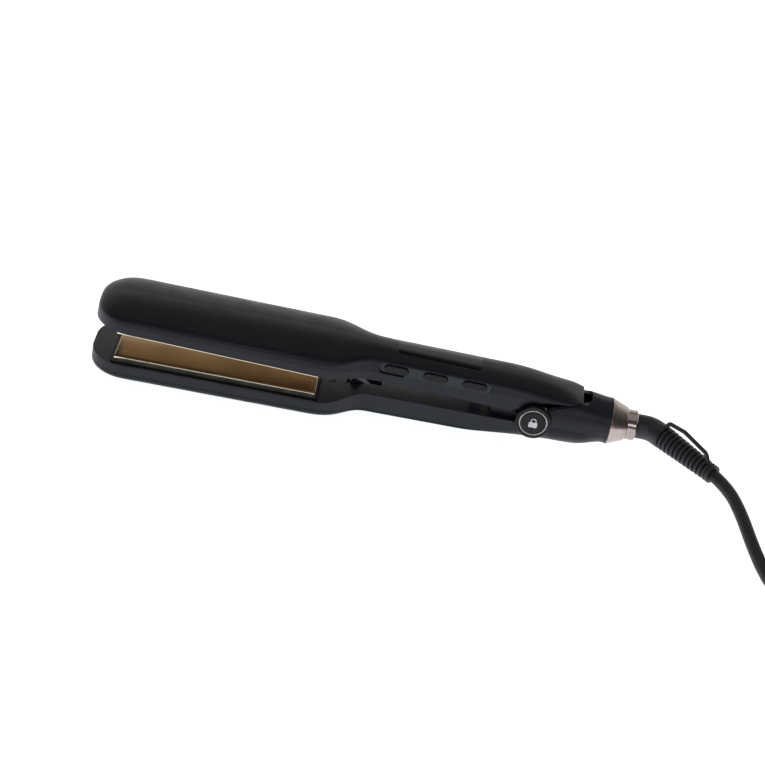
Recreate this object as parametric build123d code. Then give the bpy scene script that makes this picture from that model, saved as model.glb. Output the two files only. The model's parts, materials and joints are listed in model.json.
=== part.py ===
"""Wide-plate flat iron (hair straightener) on its mains cord, built as separate pieces.

Millimetres, +Z up. The iron lies on the flat of its lower jaw. X runs along it, nose at -X and
cord at +X, and the buttons and the lock face -Y. The origin is at the bottom centre of the iron
without its cord. The lower arm is the fixed half. The upper arm is drawn closed, plates parallel,
and every upper piece is then turned open about the hinge pin to its released position.
"""
import os
from math import cos, pi, radians, sin, sqrt, tan

from build123d import *

# Overall ------------------------------------------------------------------------------------
LENGTH = 299.5            # nose to the end of the cord collar
NOSE_X = -LENGTH / 2
COLLAR_END_X = LENGTH / 2
HINGE_X = COLLAR_END_X - 56.5
HINGE_Z = 18.0
OPENING = 3.1             # degrees the upper arm turns between closed and released
JAW_TILT = 1.1            # degrees the upper jaw stands off at its heel when the tips meet
WALL = 2.0                # moulded shell thickness
GAP = 0.3                 # running gap between moving pieces

# Plates and the trays that float them -------------------------------------------------------
CONTACT_Z = 15.0          # where the two plates meet
PLATE_LENGTH = 110.0
PLATE_WIDTH = 42.0
PLATE_THICK = 3.2
PLATE_X = NOSE_X + 14.0 + PLATE_LENGTH / 2
PLATE_TIP_X = PLATE_X - PLATE_LENGTH / 2
BEVEL_OUT = 0.8
BEVEL_DOWN = 1.5
TRAY_EDGE = 1.3
TRAY_TOP_Z = CONTACT_Z - 2.6
TRAY_LOW_Z = 5.4
POCKET_PLAY = 0.4
CLOSED_PLAY = 0.15        # each plate stops this far short of the contact plane
PLATE_TOP_Z = CONTACT_Z - CLOSED_PLAY

# Arms ---------------------------------------------------------------------------------------
JAW_HALF = 25.25
HANDLE_HALF = 13.5
NOSE_RADIUS = 20.0
SHOULDER_START = -24.0
SHOULDER_END = 3.0
HANDLE_START_X = 5.0
RIM_Z = CONTACT_Z - 3.7
DECK_Z = 15.7             # top of the lower handle
PARTING_Z = CONTACT_Z - 8.4
HANDLE_LOW_Z = 3.0
FLAT_CUT = 0.4            # how much of the jaw's belly is planed off for the rest face
TAIL_PARTING_Z = 16.2
TAIL_END_X = HINGE_X + 41.5
TAIL_AXIS_Z = 19.5
TAIL_END_HALF = 12.8
TAIL_LOW_Z = 3.4          # bottom line of the arm under the hinge

UPPER_RIM_Z = CONTACT_Z + 3.7
UPPER_LIP_Z = CONTACT_Z + 8.4   # at the jaw's tip
HANDLE_LIP_Z = 24.9
UPPER_UNDER_Z = 20.0
CROWN_NOSE_Z = 32.7
CROWN_RISE = 0.0298       # rise of the crown per millimetre towards the hinge
CROWN_FROM_X = NOSE_X + 27.0
TONGUE_ROUND_X = HINGE_X + 14.7
TONGUE_TIP_X = HINGE_X + 28.2
TONGUE_HALF = 12.9
UPPER_INSET = 1.8         # how far the upper frame hides behind the handle cover
WEDGE_X = -10.0
WEDGE_HALF = 2.2
SCREW_XS = [-14.5, 26.0, 58.0]
RIM_SCREW_XS = [-17.5]
UPPER_SCREW_XS = [12.0, 66.0]
SCREW_RADIUS = 1.3
SCREW_HEAD_RADIUS = 2.5
SCREW_HEAD_TALL = 1.4
SCREW_LONG = 7.0
POST_RADIUS = 3.4
BOSS_PLAY = 0.8
DISPLAY_PLAY = 0.4

# Hinge, lock and collar ---------------------------------------------------------------------
PIN_RADIUS = 2.5
KNUCKLE_HALF = 7.6
BEZEL_RADIUS = 10.0
LOCK_RING_RADIUS = 7.9
LOCK_BUTTON_RADIUS = 6.8
BEZEL_FACE_Y = -15.2
BEZEL_BACK_Y = -11.4
BEZEL_SEAT_FAR_Y = 12.2
FAR_CAP_RADIUS = 6.0
BLOCK_TOP_Z = 19.6
LUG_INNER_Y = 8.0
PLUNGER_OFFSET = 5.2
PIN_HALF = 9.6
SPRING_X = HINGE_X - 32.0
SPIGOT_RADIUS = 8.0
LOCK_TRAVEL = 1.2
COLLAR_STEP_X = COLLAR_END_X - 5.5
SWIVEL_BORE_RADIUS = 4.5
SLEEVE_START_X = COLLAR_END_X + GAP
SLEEVE_RADIUS = 6.75
BOOT_START_RADIUS = 6.6
BOOT_END_RADIUS = 5.2
BOOT_RIBS = 12
LOOP_RADIUS = 1.15
LOOP_HEIGHT = 5.8

# Buttons and display on the upper handle (closed position) ----------------------------------
BUTTON_ROW = (36.0, -HANDLE_HALF, 29.6)
BUTTON_TILT = 2.0
BUTTON_PITCH = 21.5
BUTTON_LONG = 13.0
BUTTON_TALL = 4.4
RECESS_LONG = 62.0
RECESS_TALL = 6.4
SWITCH_DEPTH = 3.9
WINDOW_X = 36.2
WINDOW_LONG = 46.0
WINDOW_HALF = 7.6

# Cord ---------------------------------------------------------------------------------------
CORD_DIAMETER = 7.0
CORD_LENGTH = 1800.0
SLEEVE_BEND = (158.3, 0.0, TAIL_AXIS_Z)
SLEEVE_END = (164.5, -6.0, 19.35)
BOOT_END = (191.5, -34.4, 18.4)
CORD_ROUTE = [
    BOOT_END,
    (199.5, -44.6, 17.7),
    (206.2, -62.4, 14.8),
    (212.2, -83.0, 9.7),
    (218.2, -101.4, 6.2),
    (224.8, -113.8, 4.4),
    (236.2, -124.0, 3.5),
    (256.77, -131.23, 3.5),
]
COIL_CENTRE = (272.5, -88.0)
COIL_OUTER_TURN = 46.0
COIL_TURN_STEP = 7.1
COIL_LAYERS = 2           # with part of a third on the outer turn
COIL_TURNS_WIDE = 3
TAIL_ROUTE = [
    (317.8, -80.0, 17.5),
    (314.9, -63.4, 15.8),
    (308.2, -46.6, 12.0),
    (298.3, -33.0, 9.5),
    (288.0, -23.3, 9.1),
]
PLUG_SIZE = (30.0, 25.0, 18.0)

os.makedirs("parts", exist_ok=True)


# Helpers ------------------------------------------------------------------------------------
def smooth(x, x0, x1, a, b):
    """Value that goes from a before x0 to b after x1 with no corner."""
    u = min(1.0, max(0.0, (x - x0) / (x1 - x0)))
    return a + (b - a) * u * u * (3 - 2 * u)


def block(x0, x1, y0, y1, z0, z1):
    """Box between the given faces."""
    return Pos((x0 + x1) / 2, (y0 + y1) / 2, (z0 + z1) / 2) * Box(x1 - x0, y1 - y0, z1 - z0)


def rod(start, end, radius):
    """Round bar from one point to another."""
    axis = Vector(*end) - Vector(*start)
    plane = Plane(origin=start, z_dir=axis)
    return extrude(plane * Circle(radius), axis.length)


def capsule(plane, long, tall, depth):
    """Round-ended bar standing on a plane."""
    return extrude(plane * SlotOverall(long, tall), depth)


def section(x, half, low, wall_low, wall_high, high, flat):
    """Closed outline across the iron: flat bottom and top, upright sides, round shoulders."""
    curl = 0.5523
    ledge = flat * half
    reach = half - ledge
    below = wall_low - low
    above = high - wall_high

    def shoulder(side, up):
        wall = wall_high if up else wall_low
        edge = high if up else low
        drop = above if up else -below
        return Bezier(
            (x, side * half, wall),
            (x, side * half, wall + curl * drop),
            (x, side * (ledge + (1 - curl) * reach), edge),
            (x, side * ledge, edge),
        )

    edges = [
        Line((x, -ledge, low), (x, ledge, low)),
        shoulder(1, False),
        Line((x, half, wall_low), (x, half, wall_high)),
        shoulder(1, True),
        Line((x, ledge, high), (x, -ledge, high)),
        shoulder(-1, True),
        Line((x, -half, wall_high), (x, -half, wall_low)),
        shoulder(-1, False),
    ]
    return Wire([piece.edge() for piece in edges])


def ramped_region(start, steps, floor_z):
    """Everything across the iron between a profile and a level: steps are line or ramp ends."""
    x, z = start
    edges = []
    for kind, x_next, z_next in steps:
        a, b = (x, 0, z), (x_next, 0, z_next)
        if kind == "ramp":
            edges.append(Spline(a, b, tangents=[(1, 0, 0), (1, 0, 0)]))
        else:
            edges.append(Line(a, b))
        x, z = x_next, z_next
    corners = [(x, 0, z), (x, 0, floor_z), (start[0], 0, floor_z), (start[0], 0, start[1])]
    edges.append(Polyline(*corners))
    face = make_face([edge for piece in edges for edge in piece.edges()])
    return extrude(face, 60, dir=(0, 1, 0), both=True)


def turned_over(piece):
    """Mirrors a lower jaw piece into the upper jaw and tilts it up from the plate's tip."""
    tip = Axis((PLATE_TIP_X, 0, CONTACT_Z), (0, 1, 0))
    return mirror(piece, about=Plane.XY.offset(CONTACT_Z)).rotate(tip, -JAW_TILT)


def opened(piece):
    """Turns an upper piece from the closed to the released position."""
    hinge = Axis((HINGE_X, 0, HINGE_Z), (0, 1, 0))
    return piece.rotate(hinge, OPENING)


def save(name, piece):
    """Writes one node."""
    piece.label = name
    export_step(piece, f"parts/{name}.step")


# Outer shapes of the two arms ---------------------------------------------------------------
def nose_share(x, inset):
    """How much of its full depth an arm has near its rounded nose, and its half-width there."""
    radius = NOSE_RADIUS - inset
    back = min(radius, max(0.0, NOSE_X + NOSE_RADIUS - x))
    rise = sqrt(max(0.0, radius * radius - back * back))
    return 0.3 + 0.7 * rise / radius, JAW_HALF - NOSE_RADIUS + rise


def stations(inset, end):
    """X positions of the outlines: close together round the nose, then every few millimetres."""
    radius = NOSE_RADIUS - inset
    nose = [NOSE_X + inset + radius * (1 - cos(radians(angle))) for angle in range(0, 91, 15)]
    count = 26
    start = NOSE_X + NOSE_RADIUS
    return nose + [start + (end - start) * step / count for step in range(1, count + 1)]


def lower_outline(x, inset):
    """Lower arm outline at x: jaw, handle and the round tail round the hinge."""
    share, nose_half = nose_share(x, inset)
    half = smooth(x, SHOULDER_START, SHOULDER_END, JAW_HALF, HANDLE_HALF) - inset
    half = min(half, nose_half)
    half = smooth(x, HINGE_X + 22, TAIL_END_X, half, TAIL_END_HALF - inset)
    low = smooth(x, SHOULDER_START, SHOULDER_END, -FLAT_CUT, HANDLE_LOW_Z)
    low = smooth(x, 20, HINGE_X + 20, low, TAIL_LOW_Z)
    low = smooth(x, HINGE_X + 20, TAIL_END_X, low, TAIL_AXIS_Z - TAIL_END_HALF)
    wall_low = smooth(x, HINGE_X - 40, HINGE_X + 20, PARTING_Z - 1.3, TAIL_PARTING_Z - 1.3)
    wall_low = smooth(x, HINGE_X + 20, TAIL_END_X, wall_low, TAIL_AXIS_Z - 0.5)
    low = wall_low - (wall_low - low) * share + inset
    high = smooth(x, HINGE_X + 24, TAIL_END_X, 34.4, TAIL_AXIS_Z + TAIL_END_HALF) - inset
    wall_high = smooth(x, HINGE_X - 30, HINGE_X + 20, 18.6, 20.0)
    flat = smooth(x, SHOULDER_START, HINGE_X, 0.5, 0.08)
    return section(x, half, low, wall_low, wall_high, high, flat)


def jaw_lift(x):
    """How far the upper jaw's tilt raises it, from nothing at the plate's tip."""
    return tan(radians(JAW_TILT)) * (x - PLATE_TIP_X)


def upper_crown(x):
    """Height of the upper arm's crown line."""
    line = CROWN_NOSE_Z + CROWN_RISE * (min(x, HINGE_X - 10) - CROWN_FROM_X)
    lift = smooth(x, SHOULDER_START, SHOULDER_END + 6, jaw_lift(min(x, SHOULDER_START)), 0.0)
    fall = min(1.0, max(0.0, (x - HINGE_X + 14) / 43.0))
    return line + lift - 9.6 * (1 - sqrt(1 - fall * fall))


def upper_lip(x):
    """Height of the lower edge of the upper arm's cover."""
    jaw = UPPER_LIP_Z + jaw_lift(min(x, SHOULDER_START))
    handle = HANDLE_LIP_Z + max(0.0, x - HANDLE_START_X) * 0.064 + max(0.0, x - HINGE_X - 7) * 0.09
    return smooth(x, SHOULDER_START, HANDLE_START_X, jaw, handle)


def upper_outline(x, inset):
    """Upper arm outline at x, closed position."""
    share, nose_half = nose_share(x, inset)
    half = smooth(x, SHOULDER_START, SHOULDER_END, JAW_HALF, HANDLE_HALF) - inset
    half = min(half, nose_half)
    if x > TONGUE_ROUND_X:
        reach = TONGUE_TIP_X - TONGUE_ROUND_X
        along = min(0.97, (x - TONGUE_ROUND_X) / reach)
        half = (TONGUE_HALF - inset) * sqrt(1 - along * along)
    else:
        half = smooth(x, HINGE_X - 10, TONGUE_ROUND_X, half, TONGUE_HALF - inset)
    lip = upper_lip(x)
    high = lip + (upper_crown(x) - lip) * share - inset
    wall = smooth(x, SHOULDER_START, SHOULDER_END, 0.2, 0.52)
    wall = smooth(x, HINGE_X - 20, TONGUE_ROUND_X, wall, 0.15)
    wall_high = lip + (high - lip) * wall
    low = CONTACT_Z - 3.0
    return section(x, half, low, low + 2.0, wall_high, high, 0.12)


def tongue_stations(inset):
    """Upper arm stations: as the lower arm's, then closer together round the tongue's tip."""
    reach = TONGUE_TIP_X - TONGUE_ROUND_X - inset
    tip = [TONGUE_ROUND_X + reach * sin(radians(angle)) for angle in range(15, 76, 15)]
    return stations(inset, TONGUE_ROUND_X) + tip


def arm_solid(outline, xs, inset):
    """Solid skinned over an arm's outlines."""
    return Solid.make_loft([outline(x, inset) for x in xs])


lower_outer = arm_solid(lower_outline, stations(0, TAIL_END_X), 0) & block(-200, 200, -40, 40, 0, 60)
lower_inner = arm_solid(lower_outline, stations(WALL, TAIL_END_X - WALL), WALL)
upper_outer = arm_solid(upper_outline, tongue_stations(0), 0)
upper_inner = arm_solid(upper_outline, tongue_stations(WALL), WALL)
upper_inset_solid = arm_solid(upper_outline, tongue_stations(UPPER_INSET), UPPER_INSET)
upper_inner_narrow = arm_solid(upper_outline, tongue_stations(UPPER_INSET + WALL), UPPER_INSET + WALL)
lower_body_skin = lower_outer - lower_inner

# Levels that cut the arms into frame and cover ----------------------------------------------
ARM_START = (NOSE_X - 10, RIM_Z)
lower_top = ramped_region(
    ARM_START,
    [
        ("line", SHOULDER_START, RIM_Z),
        ("ramp", SHOULDER_END, DECK_Z),
        ("line", HINGE_X - 9, DECK_Z),
        ("line", HINGE_X + 7.5, 25.8),
        ("line", HINGE_X + 24.0, 30.6),
        ("line", TAIL_END_X + 5, 33.0),
    ],
    -20,
)
lower_deck_under = ramped_region(
    (NOSE_X - 10, RIM_Z - WALL),
    [
        ("line", SHOULDER_START, RIM_Z - WALL),
        ("ramp", SHOULDER_END, DECK_Z - WALL),
        ("line", HINGE_X - 9, DECK_Z - WALL),
        ("line", HINGE_X - 9, 60),
        ("line", TAIL_END_X + 5, 60),
    ],
    -20,
)
lower_parting = ramped_region(
    (NOSE_X - 10, PARTING_Z),
    [
        ("line", HINGE_X - 18, PARTING_Z),
        ("ramp", HINGE_X + 10, TAIL_PARTING_Z),
        ("line", TAIL_END_X + 5, TAIL_PARTING_Z),
    ],
    -20,
)
upper_lip_region = ramped_region(
    (NOSE_X - 10, upper_lip(NOSE_X - 10)),
    [
        ("line", SHOULDER_START, upper_lip(SHOULDER_START)),
        ("ramp", HANDLE_START_X, HANDLE_LIP_Z),
        ("line", HINGE_X + 7, upper_lip(HINGE_X + 7)),
        ("line", TONGUE_TIP_X + 5, upper_lip(TONGUE_TIP_X + 5)),
    ],
    -20,
)
upper_under_region = ramped_region(
    (NOSE_X - 10, UPPER_RIM_Z + jaw_lift(NOSE_X - 10)),
    [
        ("line", SHOULDER_START, UPPER_RIM_Z + jaw_lift(SHOULDER_START)),
        ("ramp", SHOULDER_END, UPPER_UNDER_Z),
        ("line", HINGE_X - 14, UPPER_UNDER_Z),
        ("line", HINGE_X + 4, 29.6),
        ("line", TONGUE_TIP_X + 5, 34.8),
    ],
    -20,
)
upper_deck_region = Pos(0, 0, WALL) * upper_under_region


# Lower arm ----------------------------------------------------------------------------------
def tongue_clearance():
    """Space over the lower arm: all of it as far as the tail, then round in plan for the tongue."""
    reach = TONGUE_TIP_X + 1.6 - TONGUE_ROUND_X
    plan = Plane.XY * Pos(TONGUE_ROUND_X, 0) * Ellipse(reach, TONGUE_HALF + 2.6)
    ahead = block(NOSE_X - 10, TONGUE_ROUND_X, -40, 40, 5, 60)
    return extrude(plan, 60) + ahead - lower_top


def lock_seat():
    """Round pocket in the near wall for the lock's bezel."""
    return rod((HINGE_X, BEZEL_FACE_Y - 5, HINGE_Z), (HINGE_X, BEZEL_BACK_Y, HINGE_Z), BEZEL_RADIUS)


def far_cap_seat():
    """Round pocket in the far wall for the hinge cap."""
    return rod((HINGE_X, BEZEL_SEAT_FAR_Y, HINGE_Z), (HINGE_X, 20, HINGE_Z), FAR_CAP_RADIUS)


def jaw_pocket():
    """Opening in the lower rim that the plate tray slides in."""
    half_x = PLATE_LENGTH / 2 + TRAY_EDGE + POCKET_PLAY
    half_y = PLATE_WIDTH / 2 + TRAY_EDGE + POCKET_PLAY
    return block(PLATE_X - half_x, PLATE_X + half_x, -half_y, half_y, PARTING_Z - 3, 60)


def tail_bore():
    """Hole in the end of the tail for the collar's spigot."""
    start = (TAIL_END_X - 6, 0, TAIL_AXIS_Z)
    return rod(start, (TAIL_END_X + 2, 0, TAIL_AXIS_Z), SPIGOT_RADIUS)


def lower_low(x):
    """Height of the lower arm's bottom line along its middle."""
    low = smooth(x, SHOULDER_START, SHOULDER_END, 0.0, HANDLE_LOW_Z)
    return smooth(x, 20, HINGE_X + 20, low, TAIL_LOW_Z)


def screw_bosses():
    """Brass-bushed tubes between the bottom cover and the deck that the screws drive into."""
    bosses = []
    for x in SCREW_XS:
        top = smooth(x, SHOULDER_START, SHOULDER_END, RIM_Z, DECK_Z) - WALL - BOSS_PLAY
        foot = lower_low(x) + WALL + BOSS_PLAY
        boss = rod((x, 0, foot), (x, 0, top), POST_RADIUS)
        bosses.append(boss - rod((x, 0, foot - 1), (x, 0, top - 1.5), SCREW_RADIUS))
    return Compound(bosses)


def screw_holes():
    """Countersunk holes through the bottom cover and its posts."""
    holes = []
    for x in SCREW_XS:
        low = lower_low(x)
        holes.append(rod((x, 0, low - 1), (x, 0, low + SCREW_HEAD_TALL + 0.5), SCREW_HEAD_RADIUS))
        holes.append(rod((x, 0, low), (x, 0, low + SCREW_LONG), SCREW_RADIUS))
    return holes


def cover_screws():
    """Pan-head screws driven up through the bottom cover, with crossed slots."""
    screws = []
    for x in SCREW_XS:
        base = lower_low(x) + 0.5
        head = rod((x, 0, base), (x, 0, base + SCREW_HEAD_TALL), SCREW_HEAD_RADIUS)
        shank = rod((x, 0, base), (x, 0, base + SCREW_LONG - 1.0), SCREW_RADIUS)
        slot = block(x - 1.8, x + 1.8, -0.3, 0.3, base - 1, base + 0.8)
        cross = block(x - 0.3, x + 0.3, -1.8, 1.8, base - 1, base + 0.8)
        screws.append(head + shank - slot - cross)
    return Compound(screws)


def jaw_end_screws():
    """Small screws through the lower rim beside each end of the plate."""
    screws = []
    for x in RIM_SCREW_XS:
        head = rod((x, 0, RIM_Z - 0.6), (x, 0, RIM_Z + 0.5), 1.9)
        socket = rod((x, 0, RIM_Z - 0.1), (x, 0, RIM_Z + 2), 0.8)
        screws.append(head - socket)
    return Compound(screws)


def rim_screw_seats():
    """Shallow seats in the lower rim for its small screws."""
    return [rod((x, 0, RIM_Z - 0.6), (x, 0, RIM_Z + 3), 1.9) for x in RIM_SCREW_XS]


def hinge_block():
    """Bracket screwed under the deck: a raised stop block ahead of two lugs that hold the pin."""
    raised = block(HINGE_X - 24, HINGE_X - 9.5, -8.8, 8.8, 9.0, BLOCK_TOP_Z)
    base = block(HINGE_X - 24, HINGE_X + 7, -11.0, 11.0, 9.0, 10.5) & lower_inner
    lugs = block(HINGE_X - 7, HINGE_X + 7, -11.2, 11.2, 9.0, HINGE_Z + 5.0) & lower_inner
    slot = block(HINGE_X - 9, HINGE_X + 8, -LUG_INNER_Y, LUG_INNER_Y, 10.5, 60)
    pin = rod((HINGE_X, -30, HINGE_Z), (HINGE_X, 30, HINGE_Z), PIN_RADIUS)
    plunger = rod((HINGE_X + PLUNGER_OFFSET, -30, HINGE_Z), (HINGE_X + PLUNGER_OFFSET, 0, HINGE_Z), 1.55)
    return raised + base + lugs - slot - pin - plunger


def block_window():
    """Opening in the deck that the hinge bracket's raised block stands through."""
    return block(HINGE_X - 24.2, HINGE_X - 8, -9.0, 9.0, 8, 60)


def guide_wedge():
    """Triangular guide on the lower shoulder that centres the upper arm as it closes."""
    low = RIM_Z
    corners = [(WEDGE_X, low), (WEDGE_X + 19, low + 1.2), (WEDGE_X + 3.2, low + 6.4)]
    side = Polyline(*[(x, 0, z) for x, z in corners], close=True)
    blade = extrude(make_face(side.edges()), WEDGE_HALF, dir=(0, 1, 0), both=True)
    foot = block(WEDGE_X, WEDGE_X + 15, -WEDGE_HALF, WEDGE_HALF, low - WALL, low + 0.6)
    return blade + foot


def wedge_seat():
    """Slot in the lower deck for the guide wedge."""
    return block(WEDGE_X - 0.05, WEDGE_X + 19.05, -WEDGE_HALF - 0.05, WEDGE_HALF + 0.05, RIM_Z - 3, 60)


def lower_wires():
    """Pair of mains wires along the lower handle to the hinge."""
    xs = (-4.0, HINGE_X - 26.0)
    return Compound([rod((xs[0], y, 8.8), (xs[1], y, 8.8), 1.1) for y in (-5.0, 5.0)])


def build_lower_arm():
    """Bottom cover, frame and the fixed pieces of the lower arm."""
    cavity = lower_inner & lower_deck_under
    body = lower_outer - cavity - tail_bore() - tongue_clearance()
    cuts = [lock_seat(), far_cap_seat(), jaw_pocket()]
    shell = (body & lower_parting) - cuts
    shell = shell - screw_holes()
    frame = body - lower_parting - cuts - block_window() - wedge_seat() - rim_screw_seats()
    save("lower_shell", shell)
    save("lower_frame", frame)
    save("lower_cover_screws", cover_screws())
    save("lower_rim_screws", jaw_end_screws())
    save("hinge_block", hinge_block())
    save("screw_bosses", screw_bosses())
    save("guide_wedge", guide_wedge())
    save("lower_wires", lower_wires())


# Plates, trays and heaters ------------------------------------------------------------------
def plate():
    """Wide plate with sloping long edges, on two short rails."""
    slab = Box(PLATE_LENGTH, PLATE_WIDTH, PLATE_THICK)
    top = slab.faces().sort_by(Axis.Z)[-1]
    long_edges = top.edges().filter_by(Axis.X)
    slab = chamfer(long_edges, BEVEL_DOWN, BEVEL_OUT, reference=top)
    ends = slab.faces().sort_by(Axis.Z)[-1].edges().filter_by(Axis.Y)
    slab = chamfer(ends, 0.35)
    rails = [Pos(0, y, -PLATE_THICK / 2 - 0.6) * Box(70, 2.0, 1.2) for y in (-11, 11)]
    return Pos(PLATE_X, 0, PLATE_TOP_Z - PLATE_THICK / 2) * (slab + rails)


def plate_tray():
    """Heat-proof tray round the plate, with a well for the heater under it."""
    long, wide = PLATE_LENGTH + 2 * TRAY_EDGE, PLATE_WIDTH + 2 * TRAY_EDGE
    tall = TRAY_TOP_Z - CLOSED_PLAY - TRAY_LOW_Z
    tray = Pos(PLATE_X, 0, TRAY_LOW_Z + tall / 2) * Box(long, wide, tall)
    seat_z = PLATE_TOP_Z - PLATE_THICK
    half_x, half_y = PLATE_LENGTH / 2, PLATE_WIDTH / 2
    seat = block(PLATE_X - half_x, PLATE_X + half_x, -half_y, half_y, seat_z, 60)
    well = block(PLATE_X - 46, PLATE_X + 46, -13, 13, TRAY_LOW_Z + 1.4, 60)
    tray = tray - seat - well
    back = tray.faces().sort_by(Axis.Z)[0].outer_wire().edges()
    return chamfer(back, 2.5)


def heater():
    """Flat ceramic heating bar pressed to the back of the plate, with its two tabs."""
    top = PLATE_TOP_Z - PLATE_THICK
    bar = block(PLATE_X - 35, PLATE_X + 35, -8, 8, top - 2.4, top)
    tabs = [block(PLATE_X + 35, PLATE_X + 41, y - 1.5, y + 1.5, top - 1.6, top - 0.8) for y in (-5, 5)]
    return bar + tabs


def heater_clamp():
    """Sprung steel strip under the heating bar."""
    top = PLATE_TOP_Z - PLATE_THICK - 2.4
    strip = block(PLATE_X - 30, PLATE_X + 30, -5, 5, top - 0.8, top)
    feet = [block(x - 2, x + 2, -5, 5, TRAY_LOW_Z + 1.4, top - 0.8) for x in (PLATE_X - 28, PLATE_X + 28)]
    return strip + feet


def temperature_sensor():
    """Bead and two leads beside the heating bar."""
    top = PLATE_TOP_Z - PLATE_THICK
    bead = rod((PLATE_X + 38, 9.6, top - 1.4), (PLATE_X + 42, 9.6, top - 1.4), 1.2)
    leads = [rod((PLATE_X + 42, y, top - 1.4), (PLATE_X + 45.5, y, top - 1.4), 0.35) for y in (9.0, 10.2)]
    return bead + leads


def float_pads():
    """Silicone buffers that let the tray sink a little under load."""
    pads = []
    for x in (-40, 40):
        for y in (-12, 12):
            foot = (PLATE_X + x, y, 1.9)
            pad = rod(foot, (PLATE_X + x, y, TRAY_LOW_Z), 3.2)
            pads.append(pad - rod(foot, (PLATE_X + x, y, TRAY_LOW_Z + 1), 1.3))
    return Compound(pads)


def build_plates():
    """The same floating stack in both jaws, the upper one mirrored and turned open."""
    stack = {
        "plate": plate(),
        "plate_tray": plate_tray(),
        "heater": heater(),
        "heater_clamp": heater_clamp(),
        "temperature_sensor": temperature_sensor(),
    }
    for name, piece in stack.items():
        save(f"lower_{name}", piece)
        save(f"upper_{name}", opened(turned_over(piece)))
    save("lower_float_pads", float_pads() - lower_body_skin)
    save("upper_float_pads", opened(turned_over(float_pads()) - (upper_outer - upper_inner)))


# Upper arm (drawn closed, saved open) -------------------------------------------------------
BUTTON_DIR = (cos(radians(BUTTON_TILT)), 0, sin(radians(BUTTON_TILT)))


def button_plane(along, depth):
    """Plane on the near side of the upper handle, a distance along the row and into the wall."""
    x, y, z = BUTTON_ROW
    origin = (x + along * BUTTON_DIR[0], y + depth, z + along * BUTTON_DIR[2])
    return Plane(origin=origin, x_dir=BUTTON_DIR, z_dir=(0, 1, 0))


def button_recess(grow):
    """Long round-ended opening for the button strip."""
    return capsule(button_plane(0, -3), RECESS_LONG + grow, RECESS_TALL + grow, 6)


def button_trim():
    """Strip at the bottom of the recess with a hole for each button."""
    trim = capsule(button_plane(0, 1.2), RECESS_LONG - 0.1, RECESS_TALL - 0.1, 0.9)
    for step in (-1, 0, 1):
        plane = button_plane(step * BUTTON_PITCH, 0)
        trim -= capsule(plane, BUTTON_LONG + 0.4, BUTTON_TALL + 0.4, 4)
    return trim


def button(step):
    """Round-ended key with a stem behind it."""
    along = step * BUTTON_PITCH
    key = capsule(button_plane(along, 0.25), BUTTON_LONG, BUTTON_TALL, 2.0)
    face = key.faces().sort_by(Axis.Y)[0]
    key = fillet(face.edges(), 0.5)
    stem_plane = button_plane(along, 2.25)
    stem = extrude(stem_plane * Circle(1.0), 0.9)
    return key + stem


def switches():
    """Tact switch behind each button."""
    planes = [button_plane(step * BUTTON_PITCH, SWITCH_DEPTH) for step in (-1, 0, 1)]
    return Compound([extrude(plane * Rectangle(5, 4.4), 1.2) for plane in planes])


def control_board():
    """Circuit board upright behind the switches, with its main chip and relay, clear of the screen."""
    board = extrude(button_plane(2, SWITCH_DEPTH + 1.2) * Rectangle(66, 7.0), 1.4)
    chip = extrude(button_plane(10, SWITCH_DEPTH + 2.6) * Rectangle(9, 5), 1.2)
    relay = extrude(button_plane(-18, SWITCH_DEPTH + 2.6) * Rectangle(12, 6), 4)
    return board + chip + relay - display_module(DISPLAY_PLAY)


def window_box(play):
    """Block that bounds the display window on the crown."""
    half = WINDOW_LONG / 2 - play
    wide = WINDOW_HALF - play
    return block(WINDOW_X - half, WINDOW_X + half, -wide, wide, 33.5, 60)


def display_module(play=0.0):
    """Small screen lying just under the window, or the room that it needs."""
    z = upper_crown(WINDOW_X) - 4.6
    screen = Box(40 + 2 * play, 10.5 + 2 * play, 1.6 + 2 * play)
    return Pos(WINDOW_X, 0, z) * Rot(0, -BUTTON_TILT, 0) * screen


def knuckle():
    """Lug that reaches down from the tongue to the hinge pin."""
    barrel = rod((HINGE_X, -KNUCKLE_HALF, HINGE_Z), (HINGE_X, KNUCKLE_HALF, HINGE_Z), 4.6)
    web = block(HINGE_X - 4.6, HINGE_X + 4.6, -KNUCKLE_HALF, KNUCKLE_HALF, HINGE_Z, 31.5)
    return barrel + web


def pin_hole():
    """Running hole for the hinge pin."""
    return rod((HINGE_X, -20, HINGE_Z), (HINGE_X, 20, HINGE_Z), PIN_RADIUS + 0.05)


def upper_wires():
    """Pair of wires from the board to the heater, through the shoulder."""
    low_z = 23.8
    return Compound([rod((-8.0, y, low_z), (60.0, y, low_z), 1.1) for y in (-3.0, 3.0)])


def upper_screws():
    """Pan-head screws in the underside of the upper handle."""
    screws = []
    for x in UPPER_SCREW_XS:
        head = rod((x, 0, UPPER_UNDER_Z + 0.1), (x, 0, UPPER_UNDER_Z + 1.3), 2.2)
        shank = rod((x, 0, UPPER_UNDER_Z + 1.3), (x, 0, UPPER_UNDER_Z + 6.0), SCREW_RADIUS)
        slot = block(x - 1.6, x + 1.6, -0.3, 0.3, UPPER_UNDER_Z - 1, UPPER_UNDER_Z + 0.8)
        cross = block(x - 0.3, x + 0.3, -1.6, 1.6, UPPER_UNDER_Z - 1, UPPER_UNDER_Z + 0.8)
        screws.append(head + shank - slot - cross)
    return Compound(screws)


def upper_screw_holes():
    """Seats and holes for the screws under the upper handle."""
    holes = []
    for x in UPPER_SCREW_XS:
        holes.append(rod((x, 0, UPPER_UNDER_Z - 1), (x, 0, UPPER_UNDER_Z + 1.3), 2.2))
        holes.append(rod((x, 0, UPPER_UNDER_Z), (x, 0, UPPER_UNDER_Z + 4), SCREW_RADIUS))
    return holes


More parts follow.
